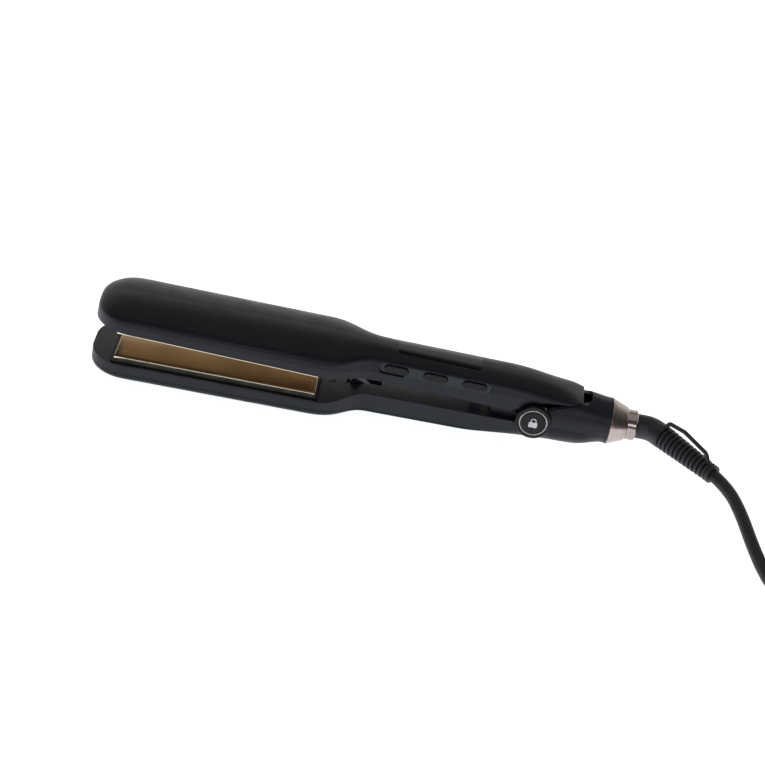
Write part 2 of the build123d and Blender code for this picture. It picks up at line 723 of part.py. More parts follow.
def upper_frame():
    """Rim round the upper plate, the underside of the handle and the hinge knuckle."""
    jaw_end = SHOULDER_END
    jaw = upper_outer & block(NOSE_X - 5, jaw_end, -40, 40, 0, 60)
    inset = upper_inset_solid & block(jaw_end, TONGUE_ROUND_X, -40, 40, 0, 60)
    hollow = upper_inner_narrow & upper_lip_region - upper_deck_region
    frame = (jaw + inset) & upper_lip_region
    frame = frame - upper_under_region - hollow
    frame = frame - turned_over(jaw_pocket()) - upper_screw_holes() - button_recess(0.3)
    bezel_room = rod((HINGE_X, -30, HINGE_Z), (HINGE_X, BEZEL_BACK_Y + GAP, HINGE_Z), BEZEL_RADIUS + GAP)
    return frame - bezel_room + knuckle() - pin_hole()


def build_upper_arm():
    """Cover, frame, buttons, display and electronics of the upper arm."""
    cover = upper_outer - upper_lip_region - upper_inner
    glass = cover & window_box(0.05)
    trimmed = cover - window_box(0) - button_recess(0) - turned_over(jaw_pocket())
    pieces = {
        "upper_shell": trimmed,
        "upper_frame": upper_frame(),
        "display_window": glass,
        "display_module": display_module(),
        "button_trim": button_trim(),
        "power_button": button(-1),
        "minus_button": button(0),
        "plus_button": button(1),
        "button_switches": switches(),
        "control_board": control_board(),
        "upper_wires": upper_wires(),
        "upper_screws": upper_screws(),
    }
    for name, piece in pieces.items():
        save(name, opened(piece))


# Hinge and lock -----------------------------------------------------------------------------
def along_y(y0, y1, radius, x=HINGE_X):
    """Round piece on the hinge's level, between two distances across the iron."""
    return rod((x, y0, HINGE_Z), (x, y1, HINGE_Z), radius)


def lock_bezel():
    """Cup in the near wall that holds the ring and the lock button."""
    cup = along_y(BEZEL_FACE_Y, BEZEL_BACK_Y, BEZEL_RADIUS)
    rim = cup.faces().sort_by(Axis.Y)[0].edges()
    cup = fillet(rim, 0.9)
    well = along_y(BEZEL_FACE_Y - 1, BEZEL_BACK_Y - 0.8, LOCK_RING_RADIUS)
    plunger = along_y(BEZEL_FACE_Y, 0, 1.6, HINGE_X + PLUNGER_OFFSET)
    return cup - well - plunger


def lock_ring():
    """Bright ring round the lock button."""
    ring = along_y(BEZEL_FACE_Y - 0.15, BEZEL_BACK_Y - 0.8, LOCK_RING_RADIUS)
    outer = ring.faces().sort_by(Axis.Y)[0].edges()
    ring = chamfer(outer, 0.3)
    return ring - along_y(BEZEL_FACE_Y - 2, 0, LOCK_BUTTON_RADIUS + 0.25)


def lock_button():
    """Round button that locks the arms shut, slightly proud of its ring."""
    front = BEZEL_FACE_Y - 0.45
    cap = along_y(front, front + 1.9, LOCK_BUTTON_RADIUS)
    edge = cap.faces().sort_by(Axis.Y)[0].edges()
    return fillet(edge, 0.4)


def lock_plunger():
    """Steel pin behind the lock button, beside the hinge pin."""
    start = BEZEL_FACE_Y + 1.45
    return along_y(start, -KNUCKLE_HALF - 0.5 - LOCK_TRAVEL, 1.45, HINGE_X + PLUNGER_OFFSET)


def build_hinge():
    """Pin, caps, spring and lock."""
    save("hinge_pin", along_y(-PIN_HALF, PIN_HALF, PIN_RADIUS))
    cap = along_y(BEZEL_SEAT_FAR_Y, 14.6, FAR_CAP_RADIUS)
    cap_rim = cap.faces().sort_by(Axis.Y)[-1].edges()
    save("hinge_cap", fillet(cap_rim, 0.7))
    save("lock_bezel", lock_bezel())
    save("lock_ring", lock_ring())
    save("lock_button", lock_button())
    save("lock_plunger", lock_plunger())
    helix = Helix(pitch=1.55, height=4.0, radius=3.0, center=(SPRING_X, 0, DECK_Z + 0.6))
    start = helix.position_at(0)
    wire_end = Plane(origin=start, z_dir=helix.tangent_at(0)) * Circle(0.5)
    save("opening_spring", sweep(wire_end, path=helix, is_frenet=True))


# Collar, swivel and strain relief -----------------------------------------------------------
def on_axis(x0, x1, radius):
    """Round piece on the tail's axis."""
    return rod((x0, 0, TAIL_AXIS_Z), (x1, 0, TAIL_AXIS_Z), radius)


def collar_front_ring():
    """Tapered polished ring with a spigot in the tail."""
    profile = [
        (TAIL_END_X - 4, 6.2), (TAIL_END_X - 4, SPIGOT_RADIUS - 0.05),
        (TAIL_END_X, SPIGOT_RADIUS - 0.05), (TAIL_END_X, 12.5),
        (TAIL_END_X + 0.5, 12.8), (TAIL_END_X + 2.2, 12.2), (COLLAR_STEP_X - 0.4, 9.3),
        (COLLAR_STEP_X, 8.9), (COLLAR_STEP_X, 6.2),
    ]
    return lathe(profile)


def collar_rear_ring():
    """Shorter, narrower polished ring that the swivel turns in."""
    profile = [
        (COLLAR_STEP_X, SWIVEL_BORE_RADIUS), (COLLAR_STEP_X, 8.1), (COLLAR_STEP_X + 0.3, 8.4),
        (COLLAR_END_X - 0.6, 8.4), (COLLAR_END_X, 7.9), (COLLAR_END_X, SWIVEL_BORE_RADIUS),
    ]
    return lathe(profile)


def lathe(profile):
    """Ring turned on the tail's axis from points of distance along and radius."""
    points = [(x, 0, TAIL_AXIS_Z + radius) for x, radius in profile]
    face = make_face(Polyline(*points, close=True).edges())
    return revolve(face, Axis((0, 0, TAIL_AXIS_Z), (1, 0, 0)))


def swivel_core():
    """Flanged stem held behind the rear ring, free to turn in it."""
    flange = on_axis(COLLAR_STEP_X - 3.4, COLLAR_STEP_X - 0.2, 5.8)
    stem = on_axis(COLLAR_STEP_X - 3.4, SLEEVE_START_X, SWIVEL_BORE_RADIUS - 0.05)
    return flange + stem


def swivel_sleeve():
    """Smooth sleeve that bends from the tail's axis to the boot's direction."""
    route = FilletPolyline((SLEEVE_START_X, 0, TAIL_AXIS_Z), SLEEVE_BEND, SLEEVE_END, radius=9.0)
    start = Plane(origin=(SLEEVE_START_X, 0, TAIL_AXIS_Z), z_dir=(1, 0, 0)) * Circle(SLEEVE_RADIUS)
    return sweep(start, path=route)


def strain_relief():
    """Tapered boot with ribs all along and a flange at each end."""
    axis = Vector(*BOOT_END) - Vector(*SLEEVE_END)
    plane = Plane(origin=SLEEVE_END, z_dir=axis)
    long = axis.length
    points = [(0, 0), (BOOT_START_RADIUS, 0), (BOOT_START_RADIUS, 1.6)]
    step = (long - 4.0) / BOOT_RIBS
    for rib in range(BOOT_RIBS):
        z = 1.6 + step * rib
        outer = BOOT_START_RADIUS - (BOOT_START_RADIUS - BOOT_END_RADIUS) * rib / (BOOT_RIBS - 1)
        inner = outer - 1.5
        points += [
            (inner, z + 0.1), (inner, z + 0.4 * step), (outer - 0.25, z + 0.45 * step),
            (outer, z + 0.6 * step), (outer, z + 0.8 * step), (outer - 0.25, z + 0.97 * step),
        ]
    points += [(BOOT_END_RADIUS - 1.3, long - 2.3), (BOOT_END_RADIUS - 1.3, long - 1.9)]
    points += [(BOOT_END_RADIUS, long - 1.8), (BOOT_END_RADIUS, long - 0.3)]
    points += [(BOOT_END_RADIUS - 0.3, long), (0, long)]
    outline = Plane.XZ * Polyline(*points, close=True)
    turned = revolve(make_face(outline.edges()), Axis.Z)
    return plane.location * turned


def hang_loop():
    """Thin moulded loop that arches over the boot."""
    axis = (Vector(*BOOT_END) - Vector(*SLEEVE_END)).normalized()
    up = Vector(0, 0, 1)
    start = Vector(*SLEEVE_END) + axis * 0.8 + up * (BOOT_START_RADIUS - 1.0)
    end = Vector(*BOOT_END) - axis * 5.0 + up * (BOOT_END_RADIUS - 0.9)
    rise = [start, start + axis * 1.5 + up * LOOP_HEIGHT * 0.75, start + axis * 13 + up * LOOP_HEIGHT]
    fall = [end - axis * 3 + up * LOOP_HEIGHT * 0.75, end]
    route = FilletPolyline(*rise, *fall, radius=[2.2, 6.0, 3.5])
    disc = Plane(origin=start, z_dir=rise[1] - rise[0]) * Circle(LOOP_RADIUS)
    return sweep(disc, path=route)


def build_tail():
    """Collar rings, swivel and strain relief."""
    save("collar_front_ring", collar_front_ring())
    save("collar_rear_ring", collar_rear_ring())
    save("swivel_core", swivel_core())
    save("swivel_sleeve", swivel_sleeve())
    save("strain_relief", strain_relief())
    save("hang_loop", hang_loop())


# Cord ---------------------------------------------------------------------------------------
def corner_radii(route):
    """Arc radius at each corner of a route: as large as its two runs allow."""
    radii = []
    for before, corner, after in zip(route, route[1:], route[2:]):
        one = Vector(*corner) - Vector(*before)
        two = Vector(*after) - Vector(*corner)
        turn = radians(one.get_angle(two))
        radii.append(0.45 * min(one.length, two.length) / tan(turn / 2))
    return radii


def tube(name, route):
    """Cord along a route of straight runs joined by tangent arcs."""
    radii = corner_radii(route)
    path = FilletPolyline(*route, radius=radii)
    start = Plane(origin=route[0], z_dir=Vector(*route[1]) - Vector(*route[0]))
    piece = sweep(start * Circle(CORD_DIAMETER / 2), path=path)
    expected = pi * (CORD_DIAMETER / 2) ** 2 * path.length
    print(name, "radii", [round(radius, 1) for radius in radii])
    print(name, "length", round(path.length, 1), "volume ratio", round(piece.volume / expected, 4))
    return piece, path.length


def coil():
    """Outer shape of the coiled length lying flat beside the iron."""
    inner = COIL_OUTER_TURN - (COIL_TURNS_WIDE - 1) * COIL_TURN_STEP - CORD_DIAMETER / 2
    outer = COIL_OUTER_TURN + CORD_DIAMETER / 2
    tall = CORD_DIAMETER * COIL_LAYERS
    ring = extrude(Circle(outer) - Circle(inner), tall)
    top_turn = Pos(0, 0, tall) * extrude(Circle(outer) - Circle(outer - CORD_DIAMETER), CORD_DIAMETER)
    ring = ring + top_turn
    rims = ring.edges().filter_by(GeomType.CIRCLE)
    low_rims = rims.group_by(Axis.Z)[0]
    top_rims = rims.group_by(Axis.Z)[-1]
    return Pos(*COIL_CENTRE, 0) * fillet(low_rims + top_rims, 2.8)


def plug():
    """Moulded two-pin plug lying on its side, and its pins."""
    end = Vector(*TAIL_ROUTE[-1])
    axis = end - Vector(*TAIL_ROUTE[-2])
    axis = Vector(axis.X, axis.Y, 0).normalized()
    plane = Plane(origin=end, x_dir=(axis.Y, -axis.X, 0), z_dir=axis)
    long, wide, tall = PLUG_SIZE
    neck = extrude(plane * Circle(5.4), 9)
    body = extrude(plane.offset(8) * RectangleRounded(wide, tall, 6.0), long - 8)
    face = plane.offset(long)
    pins = [extrude(face * Pos(x, 0) * Rectangle(1.5, 6.3), 16) for x in (-6.35, 6.35)]
    return neck + body, Compound(pins)


def build_cord():
    """Free cord: tube from the boot, coil, tube to the plug."""
    lead, lead_length = tube("cord", CORD_ROUTE)
    end, end_length = tube("cord_end", TAIL_ROUTE)
    coiled = CORD_LENGTH - lead_length - end_length
    mean = COIL_OUTER_TURN - COIL_TURN_STEP * (COIL_TURNS_WIDE - 1) / 2
    print("coil holds", round(coiled), "mm, turns", round(coiled / (2 * pi * mean), 2))
    body, pins = plug()
    print("plug box", body.bounding_box())
    save("cord", lead)
    save("cord_coil", coil())
    save("cord_end", end)
    save("plug_body", body)
    save("plug_pins", pins)


build_lower_arm()
build_plates()
build_upper_arm()
build_hinge()
build_tail()
build_cord()
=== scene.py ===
import json
from math import atan2, cos, radians, sin, tau

import bpy
from mathutils import Matrix, Vector


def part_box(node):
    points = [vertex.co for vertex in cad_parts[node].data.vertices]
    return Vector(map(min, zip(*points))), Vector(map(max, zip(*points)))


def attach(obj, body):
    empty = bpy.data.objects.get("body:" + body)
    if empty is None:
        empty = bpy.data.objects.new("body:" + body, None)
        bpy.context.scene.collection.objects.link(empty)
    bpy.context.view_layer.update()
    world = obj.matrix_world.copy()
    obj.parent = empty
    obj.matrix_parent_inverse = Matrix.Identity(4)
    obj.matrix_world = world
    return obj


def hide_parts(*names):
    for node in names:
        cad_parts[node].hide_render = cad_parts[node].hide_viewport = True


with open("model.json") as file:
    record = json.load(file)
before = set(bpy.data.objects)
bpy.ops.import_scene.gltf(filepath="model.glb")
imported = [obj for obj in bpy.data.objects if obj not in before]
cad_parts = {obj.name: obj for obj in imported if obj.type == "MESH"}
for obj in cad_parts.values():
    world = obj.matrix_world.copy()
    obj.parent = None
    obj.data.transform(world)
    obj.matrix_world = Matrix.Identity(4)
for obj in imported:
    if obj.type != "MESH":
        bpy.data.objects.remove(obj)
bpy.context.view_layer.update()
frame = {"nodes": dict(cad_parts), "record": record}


# Camera -------------------------------------------------------------------------------------
CAMERA_AIM = Vector((0.0092, -0.0006, 0.0170))
CAMERA_AZIMUTH = -0.889
CAMERA_ELEVATION = 30.201
CAMERA_ROLL = 11.134
CAMERA_DISTANCE = 1.2
CAMERA_LENS = 103.26
SENSOR = 36.0


def make_camera():
    """Long lens looking down at the button side, rolled so that the cord end hangs lower."""
    azimuth, elevation = radians(CAMERA_AZIMUTH), radians(CAMERA_ELEVATION)
    back = Vector((sin(azimuth) * cos(elevation), -cos(azimuth) * cos(elevation), sin(elevation)))
    level = Vector((cos(azimuth), sin(azimuth), 0))
    right = Matrix.Rotation(radians(CAMERA_ROLL), 3, back) @ level
    up = back.cross(right)
    data = bpy.data.cameras.new("camera")
    data.lens = CAMERA_LENS
    data.sensor_width = SENSOR
    data.clip_start, data.clip_end = 0.05, 30
    camera = bpy.data.objects.new("camera", data)
    turn = Matrix((right, up, back)).transposed().to_4x4()
    camera.matrix_world = Matrix.Translation(CAMERA_AIM + back * CAMERA_DISTANCE) @ turn
    bpy.context.collection.objects.link(camera)
    bpy.context.scene.camera = camera


make_camera()


# Cord ---------------------------------------------------------------------------------------
CORD_DIAMETER = 0.007
CORD_ROUTE = [
    (0.1915, -0.0344, 0.0184),
    (0.1995, -0.0446, 0.0177),
    (0.2062, -0.0624, 0.0148),
    (0.2122, -0.0830, 0.0097),
    (0.2182, -0.1014, 0.0062),
    (0.2248, -0.1138, 0.0044),
    (0.2362, -0.1240, 0.0035),
    (0.25677, -0.13123, 0.0035),
]
COIL_CENTRE = Vector((0.2725, -0.0880, 0))
COIL_OUTER = 0.0454       # a little inside the CAD's ring, so that the curve's box stays in its box
COIL_STEP = 0.0071
TAIL_ROUTE = [
    (0.3178, -0.0800, 0.0175),
    (0.3149, -0.0634, 0.0158),
    (0.3082, -0.0466, 0.0120),
    (0.2983, -0.0330, 0.0095),
    (0.2880, -0.0233, 0.0091),
]
POINTS_PER_TURN = 20
WHOLE_TURNS = 6


def ease(value, start, end):
    """0 before start, 1 after end, with no corner between."""
    u = min(1.0, max(0.0, (value - start) / (end - start)))
    return u * u * (3 - 2 * u)


def coil_track(turns):
    """Radius and height of the winding after a number of turns: three tracks in, three back out.

    Near the end of each turn the winding steps across one track. The third turn climbs to the
    second layer and the sixth to the third, each in its own part of the turn.
    """
    whole = int(turns)
    part = turns - whole
    radius, height = COIL_OUTER, CORD_DIAMETER / 2
    for turn in range(whole + 1):
        share = 1.0 if turn < whole else part
        if turn < 2:
            radius -= COIL_STEP * ease(share, 0.88, 1.0)
        elif turn == 2:
            height += CORD_DIAMETER * ease(share, 0.76, 0.88)
        elif turn < 5:
            radius += COIL_STEP * ease(share, 0.64, 0.76)
        elif turn == 5:
            height += CORD_DIAMETER * ease(share, 0.54, 0.64)
    return radius, height


def coil_points():
    """Points of the winding, from where the cord meets it to where the plug's end leaves it."""
    first = Vector(CORD_ROUTE[-1]) - COIL_CENTRE
    last = Vector(TAIL_ROUTE[0]) - COIL_CENTRE
    start = atan2(first.y, first.x)
    sweep = (atan2(last.y, last.x) - start) % tau + WHOLE_TURNS * tau
    count = round(sweep / tau * POINTS_PER_TURN)
    stretch = 1 / cos(sweep / count / 2)
    points = []
    for step in range(1, count):
        angle = sweep * step / count
        radius, height = coil_track(angle / tau)
        radius *= stretch
        place = Vector((cos(start + angle) * radius, sin(start + angle) * radius, height))
        points.append(COIL_CENTRE + place)
    return points


def nurbs_curve(name, points, radius):
    """Round tube along one smooth open line; the points carry its radius, so its box is true."""
    data = bpy.data.curves.new(name, "CURVE")
    data.dimensions = "3D"
    data.resolution_u = 6
    data.bevel_depth = 1.0
    data.bevel_resolution = 5
    data.use_fill_caps = True
    spline = data.splines.new("NURBS")
    spline.points.add(len(points) - 1)
    for point, place in zip(spline.points, points):
        point.co = (*place, 1.0)
        point.radius = radius
    spline.order_u = 3
    spline.use_endpoint_u = True
    piece = bpy.data.objects.new(name, data)
    bpy.context.collection.objects.link(piece)
    return piece


mains_cord = nurbs_curve("mains_cord", CORD_ROUTE + coil_points() + TAIL_ROUTE, CORD_DIAMETER / 2)
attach(mains_cord, "swivel")
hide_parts("cord", "cord_coil", "cord_end")


# Materials ----------------------------------------------------------------------------------
class Surface:
    """A material built from nodes, with short calls for the patterns used here."""

    def __init__(self, name, colour, roughness, metallic=0.0, specular=0.5, coat=0.0):
        self.material = bpy.data.materials.new(name)
        self.material.use_nodes = True
        self.nodes = self.material.node_tree.nodes
        self.links = self.material.node_tree.links
        self.shader = self.nodes["Principled BSDF"]
        self.shader.inputs["Base Color"].default_value = (*colour, 1)
        self.shader.inputs["Roughness"].default_value = roughness
        self.shader.inputs["Metallic"].default_value = metallic
        self.shader.inputs["Specular IOR Level"].default_value = specular
        self.shader.inputs["Coat Weight"].default_value = coat
        self.shader.inputs["Coat Roughness"].default_value = 0.06
        self.place = self.nodes.new("ShaderNodeTexCoord").outputs["Object"]
        self.normal = None

    def stretched(self, scale):
        """Object coordinates with their own scale along each axis."""
        node = self.nodes.new("ShaderNodeMapping")
        node.inputs["Scale"].default_value = scale
        self.links.new(self.place, node.inputs["Vector"])
        return node.outputs["Vector"]

    def noise(self, scale, detail=3.0, roughness=0.5, stretch=(1, 1, 1)):
        """Cloudy pattern."""
        node = self.nodes.new("ShaderNodeTexNoise")
        node.inputs["Scale"].default_value = scale
        node.inputs["Detail"].default_value = detail
        node.inputs["Roughness"].default_value = roughness
        self.links.new(self.stretched(stretch), node.inputs["Vector"])
        return node.outputs["Fac"]

    def cells(self, scale, stretch=(1, 1, 1)):
        """Fine moulded grain."""
        node = self.nodes.new("ShaderNodeTexVoronoi")
        node.inputs["Scale"].default_value = scale
        self.links.new(self.stretched(stretch), node.inputs["Vector"])
        return node.outputs["Distance"]

    def ranged(self, value, low, high, start=0.35, end=0.65):
        """A pattern's middle range spread between two values."""
        node = self.nodes.new("ShaderNodeMapRange")
        node.inputs["From Min"].default_value = start
        node.inputs["From Max"].default_value = end
        node.inputs["To Min"].default_value = low
        node.inputs["To Max"].default_value = high
        self.links.new(value, node.inputs["Value"])
        return node.outputs["Result"]

    def tint(self, value, dark, light, start=0.35, end=0.65):
        """Base colour between two tones by a pattern."""
        node = self.nodes.new("ShaderNodeValToRGB")
        node.color_ramp.elements[0].position = start
        node.color_ramp.elements[0].color = (*dark, 1)
        node.color_ramp.elements[1].position = end
        node.color_ramp.elements[1].color = (*light, 1)
        self.links.new(value, node.inputs["Fac"])
        self.links.new(node.outputs["Color"], self.shader.inputs["Base Color"])
        return self

    def rough(self, value):
        """Roughness by a pattern."""
        self.links.new(value, self.shader.inputs["Roughness"])
        return self

    def softened(self, radius):
        """Rounds the look of sharp moulded edges."""
        node = self.nodes.new("ShaderNodeBevel")
        node.samples = 6
        node.inputs["Radius"].default_value = radius
        self.normal = node.outputs["Normal"]
        self.links.new(self.normal, self.shader.inputs["Normal"])
        return self

    def bump(self, height, distance, strength=1.0):
        """Relief in the surface."""
        node = self.nodes.new("ShaderNodeBump")
        node.inputs["Strength"].default_value = strength
        node.inputs["Distance"].default_value = distance
        self.links.new(height, node.inputs["Height"])
        if self.normal is not None:
            self.links.new(self.normal, node.inputs["Normal"])
        self.normal = node.outputs["Normal"]
        self.links.new(self.normal, self.shader.inputs["Normal"])
        return self


NEUTRAL = (1.0, 1.0, 1.0)
COOL = (0.86, 0.91, 1.0)


def moulded(name, dark, light, low, high, grain, edge=0.0004, specular=0.5, coat=0.0, tone=NEUTRAL):
    """Moulded plastic: slight variation in colour and gloss, soft edges and a fine grain."""
    surface = Surface(name, dark, (low + high) / 2, specular=specular, coat=coat)
    surface.shader.inputs["Specular Tint"].default_value = (*tone, 1)
    surface.tint(surface.noise(38, 4), dark, light)
    surface.rough(surface.ranged(surface.noise(90, 5, 0.6), low, high))
    surface.softened(edge)
    surface.bump(surface.noise(4200, 2), grain)
    return surface.material


def machined(name, dark, light, low, high, stretch, lines=900, edge=0.00025, depth=0.000004):
    """Polished or brushed metal with fine lines along one direction."""
    surface = Surface(name, light, (low + high) / 2, metallic=1.0)
    surface.tint(surface.noise(60, 3), dark, light)
    line = surface.noise(lines, 3, 0.55, stretch)
    surface.rough(surface.ranged(line, low, high, 0.3, 0.7))
    surface.softened(edge)
    surface.bump(line, depth, 0.5)
    return surface.material


GOLD_DARK = (0.29, 0.205, 0.112)
GOLD_LIGHT = (0.36, 0.258, 0.145)
# painted highlight colour for the plate's long edges, which face sideways
GOLD_EDGE_HIGHLIGHT = (0.95, 0.88, 0.74)
GOLD_EDGE_ROUGHNESS = 0.09
HIGHLIGHT_FACING = (0.60, 0.75)      # how far sideways a face looks where the painted highlight starts and is full


def gold_plate():
    """Gold coating brushed along the plate, with a painted highlight: its two long edges, facing sideways,
    get a much lighter colour and a lower roughness.
    """
    surface = Surface("gold_plate", GOLD_DARK, GOLD_EDGE_ROUGHNESS, metallic=1.0)
    line = surface.noise(1800, 3, 0.55, (0.02, 1, 1))
    cloud = surface.noise(60, 3)
    nodes, links = surface.nodes, surface.links
    facing = nodes.new("ShaderNodeSeparateXYZ")
    links.new(nodes.new("ShaderNodeNewGeometry").outputs["Normal"], facing.inputs["Vector"])
    sideways = nodes.new("ShaderNodeMath")
    sideways.operation = "ABSOLUTE"
    links.new(facing.outputs["Y"], sideways.inputs[0])
    # mask of the faces that look sideways: the long edges that get the painted highlight colour
    edge = surface.ranged(sideways.outputs[0], 0.0, 1.0, *HIGHLIGHT_FACING)
    face_tint = nodes.new("ShaderNodeMix")
    highlight_tint = nodes.new("ShaderNodeMix")
    for mix in (face_tint, highlight_tint):
        mix.data_type = "RGBA"
    links.new(surface.ranged(cloud, 0.0, 1.0), face_tint.inputs["Factor"])
    face_tint.inputs["A"].default_value = (*GOLD_DARK, 1)
    face_tint.inputs["B"].default_value = (*GOLD_LIGHT, 1)
    links.new(edge, highlight_tint.inputs["Factor"])
    links.new(face_tint.outputs["Result"], highlight_tint.inputs["A"])
    highlight_tint.inputs["B"].default_value = (*GOLD_EDGE_HIGHLIGHT, 1)
    links.new(highlight_tint.outputs["Result"], surface.shader.inputs["Base Color"])
    gloss = nodes.new("ShaderNodeMix")
    links.new(edge, gloss.inputs["Factor"])
    links.new(surface.ranged(line, 0.16, 0.27, 0.3, 0.7), gloss.inputs["A"])
    gloss.inputs["B"].default_value = GOLD_EDGE_ROUGHNESS
    surface.rough(gloss.outputs["Result"])
    surface.softened(0.0001)
    surface.bump(line, 0.000003, 0.4)
    return surface.material


def silicone_rubber(name, dark, light, low, high):
    """Moulded rubber with a dusty matt skin."""
    surface = Surface(name, dark, low, specular=0.42)
    surface.tint(surface.noise(120, 5, 0.6), dark, light, 0.3, 0.75)
    surface.rough(surface.ranged(surface.noise(300, 4), low, high))
    surface.softened(0.0003)
    surface.bump(surface.cells(2600), 0.000012, 0.6)
    return surface.material


MATERIALS = {
    "shell_black": moulded(
        "satin_shell", (0.0075, 0.0078, 0.0095), (0.0115, 0.0118, 0.0140), 0.34, 0.44, 0.000006,
        specular=0.25, tone=COOL),
    "frame_black": moulded(
        "frame_plastic", (0.0085, 0.0090, 0.0125), (0.0125, 0.0132, 0.0175), 0.36, 0.48, 0.000007,
        specular=0.35, tone=COOL),
    "tray_black": moulded(
        "tray_plastic", (0.006, 0.005, 0.005), (0.012, 0.010, 0.009), 0.45, 0.60, 0.000010),
    "gloss_black": moulded(
        "gloss_plastic", (0.0035, 0.0035, 0.0042), (0.0055, 0.0055, 0.0065), 0.10, 0.16, 0.000001, 0.00035,
        specular=0.22, coat=0.06),
    "trim_grey": moulded(
        "trim_plastic", (0.013, 0.014, 0.018), (0.019, 0.020, 0.026), 0.22, 0.32, 0.000003, 0.0003,
        specular=0.4, tone=COOL),
    "plate_gold": gold_plate(),
    "rose_metal": machined(
        "rose_gunmetal", (0.40, 0.325, 0.305), (0.50, 0.42, 0.395), 0.18, 0.28, (1, 0.05, 0.05), 1500,
        0.0003),
    "bright_ring": machined(
        "bright_ring", (0.30, 0.30, 0.31), (0.42, 0.42, 0.43), 0.14, 0.26, (0.2, 1, 0.2), 900),
    "steel": machined(
        "spring_steel", (0.38, 0.38, 0.40), (0.55, 0.55, 0.57), 0.22, 0.34, (0.1, 1, 1)),
    "screw_black": machined(
        "black_oxide", (0.035, 0.035, 0.040), (0.055, 0.055, 0.060), 0.30, 0.42, (1, 1, 0.2)),
    "pin_brass": machined(
        "plated_pin", (0.52, 0.44, 0.28), (0.66, 0.57, 0.38), 0.18, 0.30, (0.1, 0.1, 1)),
    "cord_rubber": silicone_rubber(
        "cord_rubber", (0.0085, 0.0085, 0.0095), (0.0140, 0.0140, 0.0155), 0.46, 0.60),
    "boot_rubber": silicone_rubber(
        "boot_rubber", (0.0170, 0.0182, 0.0215), (0.0260, 0.0275, 0.0320), 0.36, 0.50),
    "silicone": silicone_rubber("silicone", (0.32, 0.05, 0.04), (0.42, 0.08, 0.06), 0.50, 0.65),
    "wire_red": silicone_rubber("wire_cover", (0.30, 0.02, 0.02), (0.40, 0.04, 0.03), 0.40, 0.55),
    "board_green": moulded(
        "solder_mask", (0.008, 0.07, 0.03), (0.012, 0.10, 0.045), 0.25, 0.40, 0.000008),
    "ceramic_white": moulded(
        "ceramic", (0.62, 0.60, 0.56), (0.76, 0.74, 0.70), 0.50, 0.65, 0.000010),
}


def paint(piece, material):
    """Gives a piece one material in every slot."""
    if not piece.data.materials:
        piece.data.materials.append(material)
    for index in range(len(piece.data.materials)):
        piece.data.materials[index] = material


slot_of = {part["node"]: part["material_slot"] for part in frame["record"]["subparts"]}
for node, piece in frame["nodes"].items():
    paint(piece, MATERIALS[slot_of[node]])
paint(mains_cord, MATERIALS["cord_rubber"])


# Coil tie -----------------------------------------------------------------------------------
TIE_ANGLE = 310.0
TIE_WIDTH = 0.013
TIE_THICK = 0.0009
TIE_CLEAR = 0.0001
TABLE_CLEAR = 0.0002
LAP_RISE = 0.8 * TIE_THICK
TIE_STEPS = 96
TIE_ROWS = 9


def turns_at(angle):
    """Radius and height of each turn of the coil where it passes an angle, in degrees."""
    first = Vector(CORD_ROUTE[-1]) - COIL_CENTRE
    share = (radians(angle) - atan2(first.y, first.x)) % tau / tau
    return [coil_track(turn + share) for turn in range(WHOLE_TURNS + 1)]


def strap_outline(spots, offset):
    """Taut line round the turns, as distance from the coil's middle and height."""
    outline = []
    for step in range(TIE_STEPS):
        angle = tau * step / TIE_STEPS
        out, up = cos(angle), sin(angle)
        radius, height = max(spots, key=lambda spot: spot[0] * out + spot[1] * up)
        reach = CORD_DIAMETER / 2 + offset
        outline.append((radius + reach * out, max(TABLE_CLEAR, height + reach * up)))
    return outline


def coil_tie():
    """Woven hook-and-loop strap that holds the coil together, with its free end lapped over."""
    spots = turns_at(TIE_ANGLE)
    mesh = bpy.data.meshes.new("coil_tie")
    tie = bpy.data.objects.new("coil_tie", mesh)
    bpy.context.collection.objects.link(tie)
    inner = strap_outline(spots, TIE_CLEAR)
    outer = strap_outline(spots, TIE_CLEAR + TIE_THICK)
    lap_from, lap_to = TIE_STEPS // 12, TIE_STEPS // 3
    verts, faces = [], []
    for row in range(TIE_ROWS):
        across = TIE_WIDTH * (row / (TIE_ROWS - 1) - 0.5)
        edge = 1 - 0.25 * abs(row / (TIE_ROWS - 1) - 0.5) ** 2
        for ring in (inner, outer):
            for step, (radius, height) in enumerate(ring):
                lap = LAP_RISE if ring is outer and lap_from <= step <= lap_to else 0.0
                place = Vector((radius + lap * edge, across, height))
                verts.append(COIL_CENTRE + Matrix.Rotation(radians(TIE_ANGLE), 3, "Z") @ place)
    size = 2 * TIE_STEPS
    for row in range(TIE_ROWS - 1):
        for step in range(TIE_STEPS):
            after = (step + 1) % TIE_STEPS
            low, high = row * size, (row + 1) * size
            faces.append((low + step, high + step, high + after, low + after))
            start, end = low + TIE_STEPS, high + TIE_STEPS
            faces.append((start + step, start + after, end + after, end + step))
    for low, flip in ((0, False), ((TIE_ROWS - 1) * size, True)):
        for step in range(TIE_STEPS):
            after = (step + 1) % TIE_STEPS
            face = (low + step, low + after, low + TIE_STEPS + after, low + TIE_STEPS + step)
            faces.append(face[::-1] if flip else face)
    mesh.from_pydata(verts, [], faces)
    mesh.validate()
    mesh.polygons.foreach_set("use_smooth", [True] * len(mesh.polygons))
    surface = Surface("woven_strap", (0.012, 0.012, 0.014), 0.85, specular=0.25)
    weave = surface.noise(900, 2, 0.5, (1, 1, 4))
    surface.tint(weave, (0.008, 0.008, 0.009), (0.022, 0.022, 0.025))
    surface.rough(surface.ranged(surface.noise(400, 3), 0.75, 0.95))
    surface.bump(surface.cells(1500), 0.00008, 0.8)
    mesh.materials.append(surface.material)
    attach(tie, "swivel")


coil_tie()


